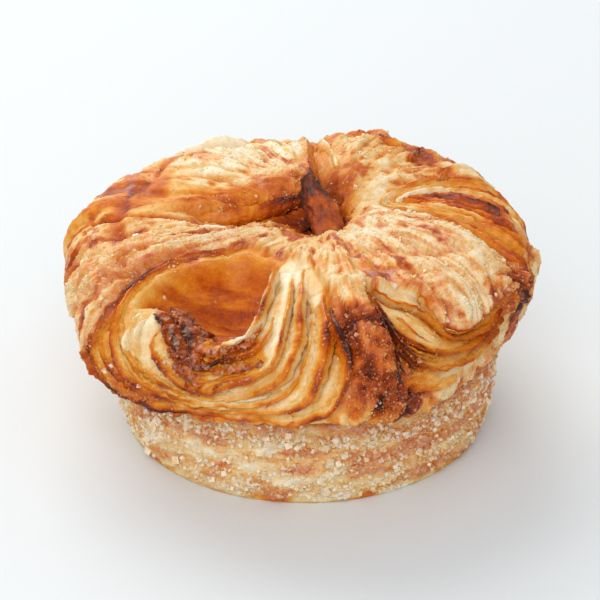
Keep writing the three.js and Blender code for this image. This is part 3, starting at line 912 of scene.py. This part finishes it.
def leaf_shape(crest, seed, span=(0, 1)):
    """The shape of the leaf that stands on a crest, or on the part of the crest in span."""

    def shape(u, v):
        share = mix(*span, u)

        def along_it(key):
            return np.interp(share, crest["share"], crest[key])

        def on(course_share):
            angle = np.interp(course_share, crest["share"], crest["angle"])
            w = np.interp(course_share, crest["share"], crest["w"])
            return angle, w, crown_point(angle, w, 0)

        angle, w, base = on(share)
        thick = along_it("thick")
        up = crown_point(angle, w, 1) - base
        up /= np.linalg.norm(up, axis=1, keepdims=True)
        ahead = on(np.clip(share + 0.01, 0, 1))[2] - on(np.clip(share - 0.01, 0, 1))[2]
        right = np.cross(ahead, up)
        right /= np.linalg.norm(right, axis=1, keepdims=True)
        along = along_it("along")
        line = np.stack([along, along * 0 + seed * 3.7, along * 0], axis=-1)
        depth = np.abs(2 * v - 1) ** 1.6
        fade = ease(1 - np.abs(2 * u - 1), 0, 0.14)
        crumple = crest["crumple"]
        wave = crumple * (0.5 * rough(line, 14, 2, 10) + 0.35 * rough(line, 5, 2, 11))
        tear = 0.3 * crumple * rough(line, 1.5, 3, 12) - 1.3 * np.maximum(rough(line, 4, 2, 13) - 0.3, 0)
        lift = mix(-2.5, along_it("rise") + wave + tear, fade) - LEAF["length"] * depth
        sway = 0.6 * rough(line, 11, 2, 14) * (1 - depth)
        sway += 0.22 * crumple * rough(line, 2.2, 3, 15) * (1 - depth) ** 3
        round_edge = np.sqrt(np.clip(depth / 0.05, 0, 1))
        at_crest = LEAF["crest"] * (0.6 + 0.4 * thick)
        wide = mix(at_crest, LEAF["root"] * thick, ease(LEAF["length"] * depth, 0, 2.6))
        closed = np.sqrt(np.clip((1 - depth) / 0.05, 0, 1) * np.clip((1 - np.abs(2 * u - 1)) / 0.02, 0, 1))
        half = wide / 2 * round_edge * closed * (1 + 0.4 * rough(line, 2.5, 3, 16))
        off = sway - 0.6 * depth + half * np.sign(v - 0.5)
        grit = rough(base + up * lift[:, None] + right * off[:, None], 1, 4, seed % 7)
        off += (0.15 + 0.3 * (crumple - 1)) * grit * fade
        lift += 0.4 * (crumple - 1) * grit * fade
        points = base + up * lift[:, None] + right * off[:, None]
        below = LEAF["length"] * depth
        crisp = np.exp(-((below / (0.4 + 0.4 * thick + 0.5 * rough(line, 5, 2, 17))) ** 2))
        crest_tone = along_it("crest") + 0.3 * rough(line, 5, 3, 18)
        face = 0.42 if crest["face"] is None else along_it("face")
        # painted shade: the face darkens deeper down between the leaves and on the leaf's right side
        flank = face + 0.14 * rough(line * 0.8, 9, 2, 19) + 0.03 * below + 0.06 * (v > 0.5)
        tone = mix(flank, crest_tone, crisp) + baked_and_shaded(points)
        glaze = np.clip(0.35 + 0.6 * crisp + 0.05 * below, 0, 1) * (1 - 0.6 * min(crumple - 1, 1))
        dusted = 0.5 * min(crumple - 1, 1) * ease(rough(points, 1.2, 3, 20), -0.1, 0.3)
        return points, along, below, {"tone": tone, "glaze": glaze, "sugar": dusted}

    return shape


def join(name, pieces):
    """Joins the leaves of a bundle into one piece."""
    bpy.ops.object.select_all(action="DESELECT")
    for piece in pieces:
        piece.select_set(True)
    bpy.context.view_layer.objects.active = pieces[0]
    bpy.ops.object.join()
    pieces[0].name = name
    return pieces[0]


def leaf_between(inner, outer, part):
    """A thin leaf between two others, standing on the dough that falls away from the inner one."""
    course = [mix(inner[key], outer[key], part) for key in ("angle", "w")]
    gap = np.linalg.norm(inner["points"] - outer["points"], axis=1) * part
    sunk = inner["drop"] * np.clip(1 - gap / inner["reach"], 0, 1) ** 1.6
    crest = mix(outer["face"], outer["crest"], 0.5)
    return leaf(course, drop=0, rise=0.5 - sunk, crest=crest, face=outer["face"], thick=0.4)


leaf_skin = crust_material("layer edges", 0.24, 0.26, 0.26, 0.6)
leaf_draw = np.random.default_rng(5)
for name, crests in LEAVES.items():
    rows = 33 if name == "knot" else 17
    sheets = []
    for number, crest in enumerate(crests):
        seed = leaf_draw.uniform(0, 90)
        sheets.append(shaped_grid("leaf", 220, rows, leaf_shape(crest, seed)))
        if name in ("lips", "knot", "torn_edges") or number == len(crests) - 1:
            continue
        for part in (0.34, 0.66):
            thin = leaf_between(crests[number + 1], crest, part)
            span = (leaf_draw.uniform(0.2, 0.3), leaf_draw.uniform(0.45, 0.6))
            sheets.append(shaped_grid("leaf", 170, 9, leaf_shape(thin, seed + 31 * part, span)))
    finish(join(name, sheets), leaf_skin)

# ------------------------------------------------------------------ the drum
# The part that stood in the ring: a straight wall of the same dough, pale, and crusted all over with sugar
# that caught the butter. It has a rounded heel and runs up inside the crown, which puffed out over the ring.

DRUM = {"foot": 39, "top": 40.5, "heel": 1.6}  # mm: its radius at the foot and the top, and the heel's inset
DRUM_TOP = 20.5  # mm, inside the crown


def drum_shape(u, v):
    angle = u * 2 * np.pi
    t = np.clip((v - 0.15) / 0.85, 0, 1)
    wall = mix(DRUM["foot"], DRUM["top"], t) - (1 - t) ** 6 * DRUM["heel"]
    radius = np.where(v < 0.15, wall * np.clip(v / 0.15, 0, 1), wall) * (1 - ease(t, 0.94, 1))
    base = np.stack([radius * np.cos(angle), radius * np.sin(angle), DRUM_TOP * t], axis=-1)
    grains = np.maximum(rough(base, 1.1, 3, 21), -0.1) * 1.1 + rough(base, 5, 2, 22) * 0.5
    out = (grains - 0.35) * ease(t, 0, 0.05) * (1 - ease(t, 0.94, 1))
    points = base + np.stack([np.cos(angle), np.sin(angle), angle * 0], axis=-1) * out[:, None]
    band = rough(base * np.array([1, 1, 2.2]), 7, 3, 23)
    tone = 0.3 + 0.14 * ease(t, 0.3, 1) + 0.45 * band + 0.25 * ease(band, 0.15, 0.5) * ease(t, 0.4, 0.9)
    # painted shade: the wall is darker towards the front right, the side away from the window
    tone = np.minimum(tone + 0.22 * bell(angle, 320, 45), 0.6)
    marks = {"tone": tone, "glaze": 0.3, "sugar": 0.5 * ease(t, 0.02, 0.1)}
    return points, angle * 40, t * 18, marks


drum = shaped_grid("drum", 560, 96, drum_shape)
finish(drum, crust_material("sugared wall", 0.08, 0.3, 0.2, 0.8))

# ------------------------------------------------------------------ the curl in the pit
# A thin brown leaf of dough that came loose from the flaps round the pit. It curled lengthwise as it dried
# and stands on the pit's floor, its edges almost burnt.

CURL = {"foot": (4, 7, 33), "top": (0.5, 16, 47.5), "radius": 3.6, "half": 105, "thick": 0.5, "facing": -100}


def curl_shape(u, v):
    foot, top = np.array(CURL["foot"]), np.array(CURL["top"])
    round_section = 2 * np.pi * u
    t = np.clip(v * 1.06 - 0.03, 0, 1)
    across = np.cos(round_section)
    spot = np.stack([across * 6, t * 20, across * 0], axis=-1)
    reach = 0.7 + 0.3 * ease(t, 0, 0.4) + 0.12 * rough(spot, 5, 2, 31)
    turn = np.radians(CURL["facing"] + CURL["half"] * across * reach + 50 * t - 20)
    thin = CURL["thick"] * np.sin(round_section) * ease(1 - np.abs(2 * v - 1), 0, 0.03)
    pleats = 0.35 * np.cos(8 * across + 3 * t) + 0.8 * rough(spot, 4, 3, 32) + 0.3 * rough(spot, 1.6, 3, 35)
    radius = CURL["radius"] * (0.7 + 0.3 * np.sin(np.pi * t) - 0.1 * t + 0.16 * across) + thin / 2 + pleats
    bent = np.stack([1.8 * np.sin(np.pi * t), -0.8 * np.sin(np.pi * t), t * 0], axis=-1)
    spine = mix(foot, top, t[:, None]) + bent
    ragged = (1.4 - 4.5 * np.abs(across + 0.1) ** 1.3 + 1.4 * rough(spot, 3, 3, 33)) * t
    points = spine + np.stack([radius * np.cos(turn), radius * np.sin(turn), ragged], axis=-1)
    tone = 0.8 + 0.22 * ease(np.abs(across), 0.6, 1) + 0.24 * ease(t, 0.7, 1) + 0.3 * rough(spot, 4, 3, 34)
    return points, t * 20, across * 6, {"tone": tone, "glaze": 0.6, "sugar": 0.08}


curl = shaped_grid("curl", 90, 90, curl_shape)
finish(curl, leaf_skin)

# ------------------------------------------------------------------ the sugar
# Coarse sugar that did not melt: small clear crystals, thickest on the drum and on the flaps. The melted
# sugar of the crust holds them, each sunk into it a little.


def landing_places(base, count, weight, draw):
    """Places on a piece where crystals stick, the way off its skin there, and the tone of the skin."""
    corners, places = triangles_of(base.data)
    marks = {}
    for mark in ("tone", "sugar"):
        values = np.empty(len(places))
        base.data.attributes[mark].data.foreach_get("value", values)
        marks[mark] = values[corners[:, 0]]
    a, b, c = (places[corners[:, k]] for k in range(3))
    normal = np.cross(b - a, c - a)
    area = np.linalg.norm(normal, axis=1)
    chance = area * weight((a + b + c) / 3, marks["tone"], marks["sugar"])
    chosen = draw.choice(len(corners), count, p=chance / chance.sum())
    along, over = draw.random(count), draw.random(count)
    flip = along + over > 1
    along[flip], over[flip] = 1 - along[flip], 1 - over[flip]
    spot = a[chosen] + (b - a)[chosen] * along[:, None] + (c - a)[chosen] * over[:, None]
    return spot, normal[chosen] / area[chosen, None], marks["tone"][chosen]


def crystals(name, base, count, weight, size, frost, seed):
    """Scatters crystals over a piece. weight takes places in mm and their marks and says how thickly crystals
    lie, and frost says how white the small ones are; the large ones are always white."""
    draw = np.random.default_rng(seed)
    spot, off, tone = landing_places(base, count, weight, draw)
    big = size * (0.45 + 0.9 * draw.random(count) ** 5 + 1.4 * draw.random(count) ** 60)
    spot += off * (0.08 * big)[:, None]
    axes = np.linalg.qr(draw.normal(size=(count, 3, 3)))[0]
    axes[np.linalg.det(axes) < 0, :, 0] *= -1
    bpy.ops.object.select_all(action="DESELECT")
    bpy.ops.mesh.primitive_cube_add(size=1)
    piece = bpy.context.object
    piece.name = name
    row = piece.modifiers.new("row", "ARRAY")
    row.count = count
    bpy.ops.object.modifier_apply(modifier="row")
    flat = np.empty(len(piece.data.vertices) * 3)
    piece.data.vertices.foreach_get("co", flat)
    cube = flat.reshape(count, 8, 3)[0]
    shape = cube * draw.uniform(0.6, 1.2, (count, 1, 3)) + draw.uniform(-0.13, 0.13, (count, 8, 3))
    points = spot[:, None, :] + np.einsum("nij,nkj->nki", axes, shape * big[:, None, None])
    piece.data.vertices.foreach_set("co", (points * MM).ravel())
    marks = {"tone": tone * 0.8, "glaze": np.ones(count), "sugar": frost + 1.2 * ease(big, 0.4, 0.9)}
    for mark, values in marks.items():
        attribute = piece.data.attributes.new(mark, "FLOAT", "POINT")
        attribute.data.foreach_set("value", np.repeat(values, 8))
    piece.data.update()
    return piece


def on_flaps(places, tone, sugar):
    """How thickly crystals lie on the flaps: most where the boiled sugar set."""
    return np.clip(sugar, 0, 1) + 0.8 * knobbly(places) + 0.02


def on_crests(places, tone, sugar):
    """How thickly they lie on leaves: only on the browned crests."""
    return ease(tone, 0.5, 0.7)


def on_drum(places, tone, sugar):
    """How thickly they lie on the drum: in patches, and in a ridge under the crown at the front."""
    ridge = np.exp(-(((places[:, 2] - 15.5) / 1.6) ** 2)) * ease(-places[:, 1], 0, 20)
    return sugar * (0.35 + ease(rough(places, 6, 3, 41), -0.2, 0.4)) + 1.5 * ridge


SUGARED_CRESTS = [  # a bundle of leaves, its number of crystals, and their size in mm
    ("front_fan", 3500, 0.3),
    ("right_fan", 900, 0.3),
    ("knot", 1400, 0.3),
    ("lips", 700, 0.35),
]
sugar_skin = crust_material("sugar crystals", 0.0, 0.1, 0.1, 0.1)
finish(crystals("sugar_on_crown", crown, 14000, on_flaps, 0.38, 0.25, 6), sugar_skin)
for name, count, size in SUGARED_CRESTS:
    bundle = bpy.data.objects[name]
    finish(crystals("sugar_on_" + name, bundle, count, on_crests, size, 0.3, 8), sugar_skin)
finish(crystals("sugar_on_drum", drum, 14500, on_drum, 0.72, 0.55, 7), sugar_skin)

# ------------------------------------------------------------------ camera, light and floor
# A pale table in soft daylight from a window behind on the left, filled in softly from the front. The camera
# looks down on the pastry as a guest at the table does.

bpy.ops.object.select_all(action="DESELECT")
bpy.ops.mesh.primitive_plane_add(size=4)
floor = bpy.context.object
floor.name = "floor"
table = bpy.data.materials.new("pale table")
table.use_nodes = True
table_top = table.node_tree.nodes["Principled BSDF"]
table_top.inputs["Base Color"].default_value = (0.72, 0.74, 0.74, 1)
table_top.inputs["Roughness"].default_value = 0.6
table_top.inputs["Specular IOR Level"].default_value = 0.1
floor.data.materials.append(table)


def softbox(name, place, target, size, watts, colour):
    """A square soft lamp at a place, turned to its target."""
    lamp = bpy.data.lights.new(name, "AREA")
    lamp.size = size
    lamp.energy = watts
    lamp.color = colour
    lamp_object = bpy.data.objects.new(name, lamp)
    bpy.context.scene.collection.objects.link(lamp_object)
    lamp_object.location = place
    lamp_object.rotation_euler = (Vector(target) - Vector(place)).to_track_quat("-Z", "Y").to_euler()


softbox("window", (-0.5, 1.15, 1.0), (0, 0, 0.02), 1.2, 18, (1, 0.995, 0.985))
softbox("fill", (-0.2, -1.0, 0.8), (0, 0, 0.02), 1.2, 10.5, (1, 1, 1))

world = bpy.data.worlds.new("studio")
bpy.context.scene.world = world
world.use_nodes = True
sky = world.node_tree.nodes["Background"]
sky.inputs["Color"].default_value = (0.93, 0.96, 1, 1)
sky.inputs["Strength"].default_value = 0.62
bpy.context.scene.view_settings.view_transform = "Standard"

ELEVATION = math.radians(28)
DISTANCE = 0.45
AIM = Vector((0, 0, 0.022))
PX_PER_MM = 4.75
FRAME_SHIFT = (-5, 18)  # px, how far right of AIM and above it the middle of the frame is
camera_data = bpy.data.cameras.new("camera")
camera = bpy.data.objects.new("camera", camera_data)
bpy.context.scene.collection.objects.link(camera)
bpy.context.scene.camera = camera
camera_data.lens = PX_PER_MM * DISTANCE / MM * camera_data.sensor_width / 600
camera_data.clip_start = 0.01
camera.location = AIM + DISTANCE * Vector((0, -math.cos(ELEVATION), math.sin(ELEVATION)))
upwards = Vector((0, math.sin(ELEVATION), math.cos(ELEVATION)))
centre = AIM + (Vector((1, 0, 0)) * FRAME_SHIFT[0] + upwards * FRAME_SHIFT[1]) / PX_PER_MM * MM
camera.rotation_euler = (centre - camera.location).to_track_quat("-Z", "Y").to_euler()
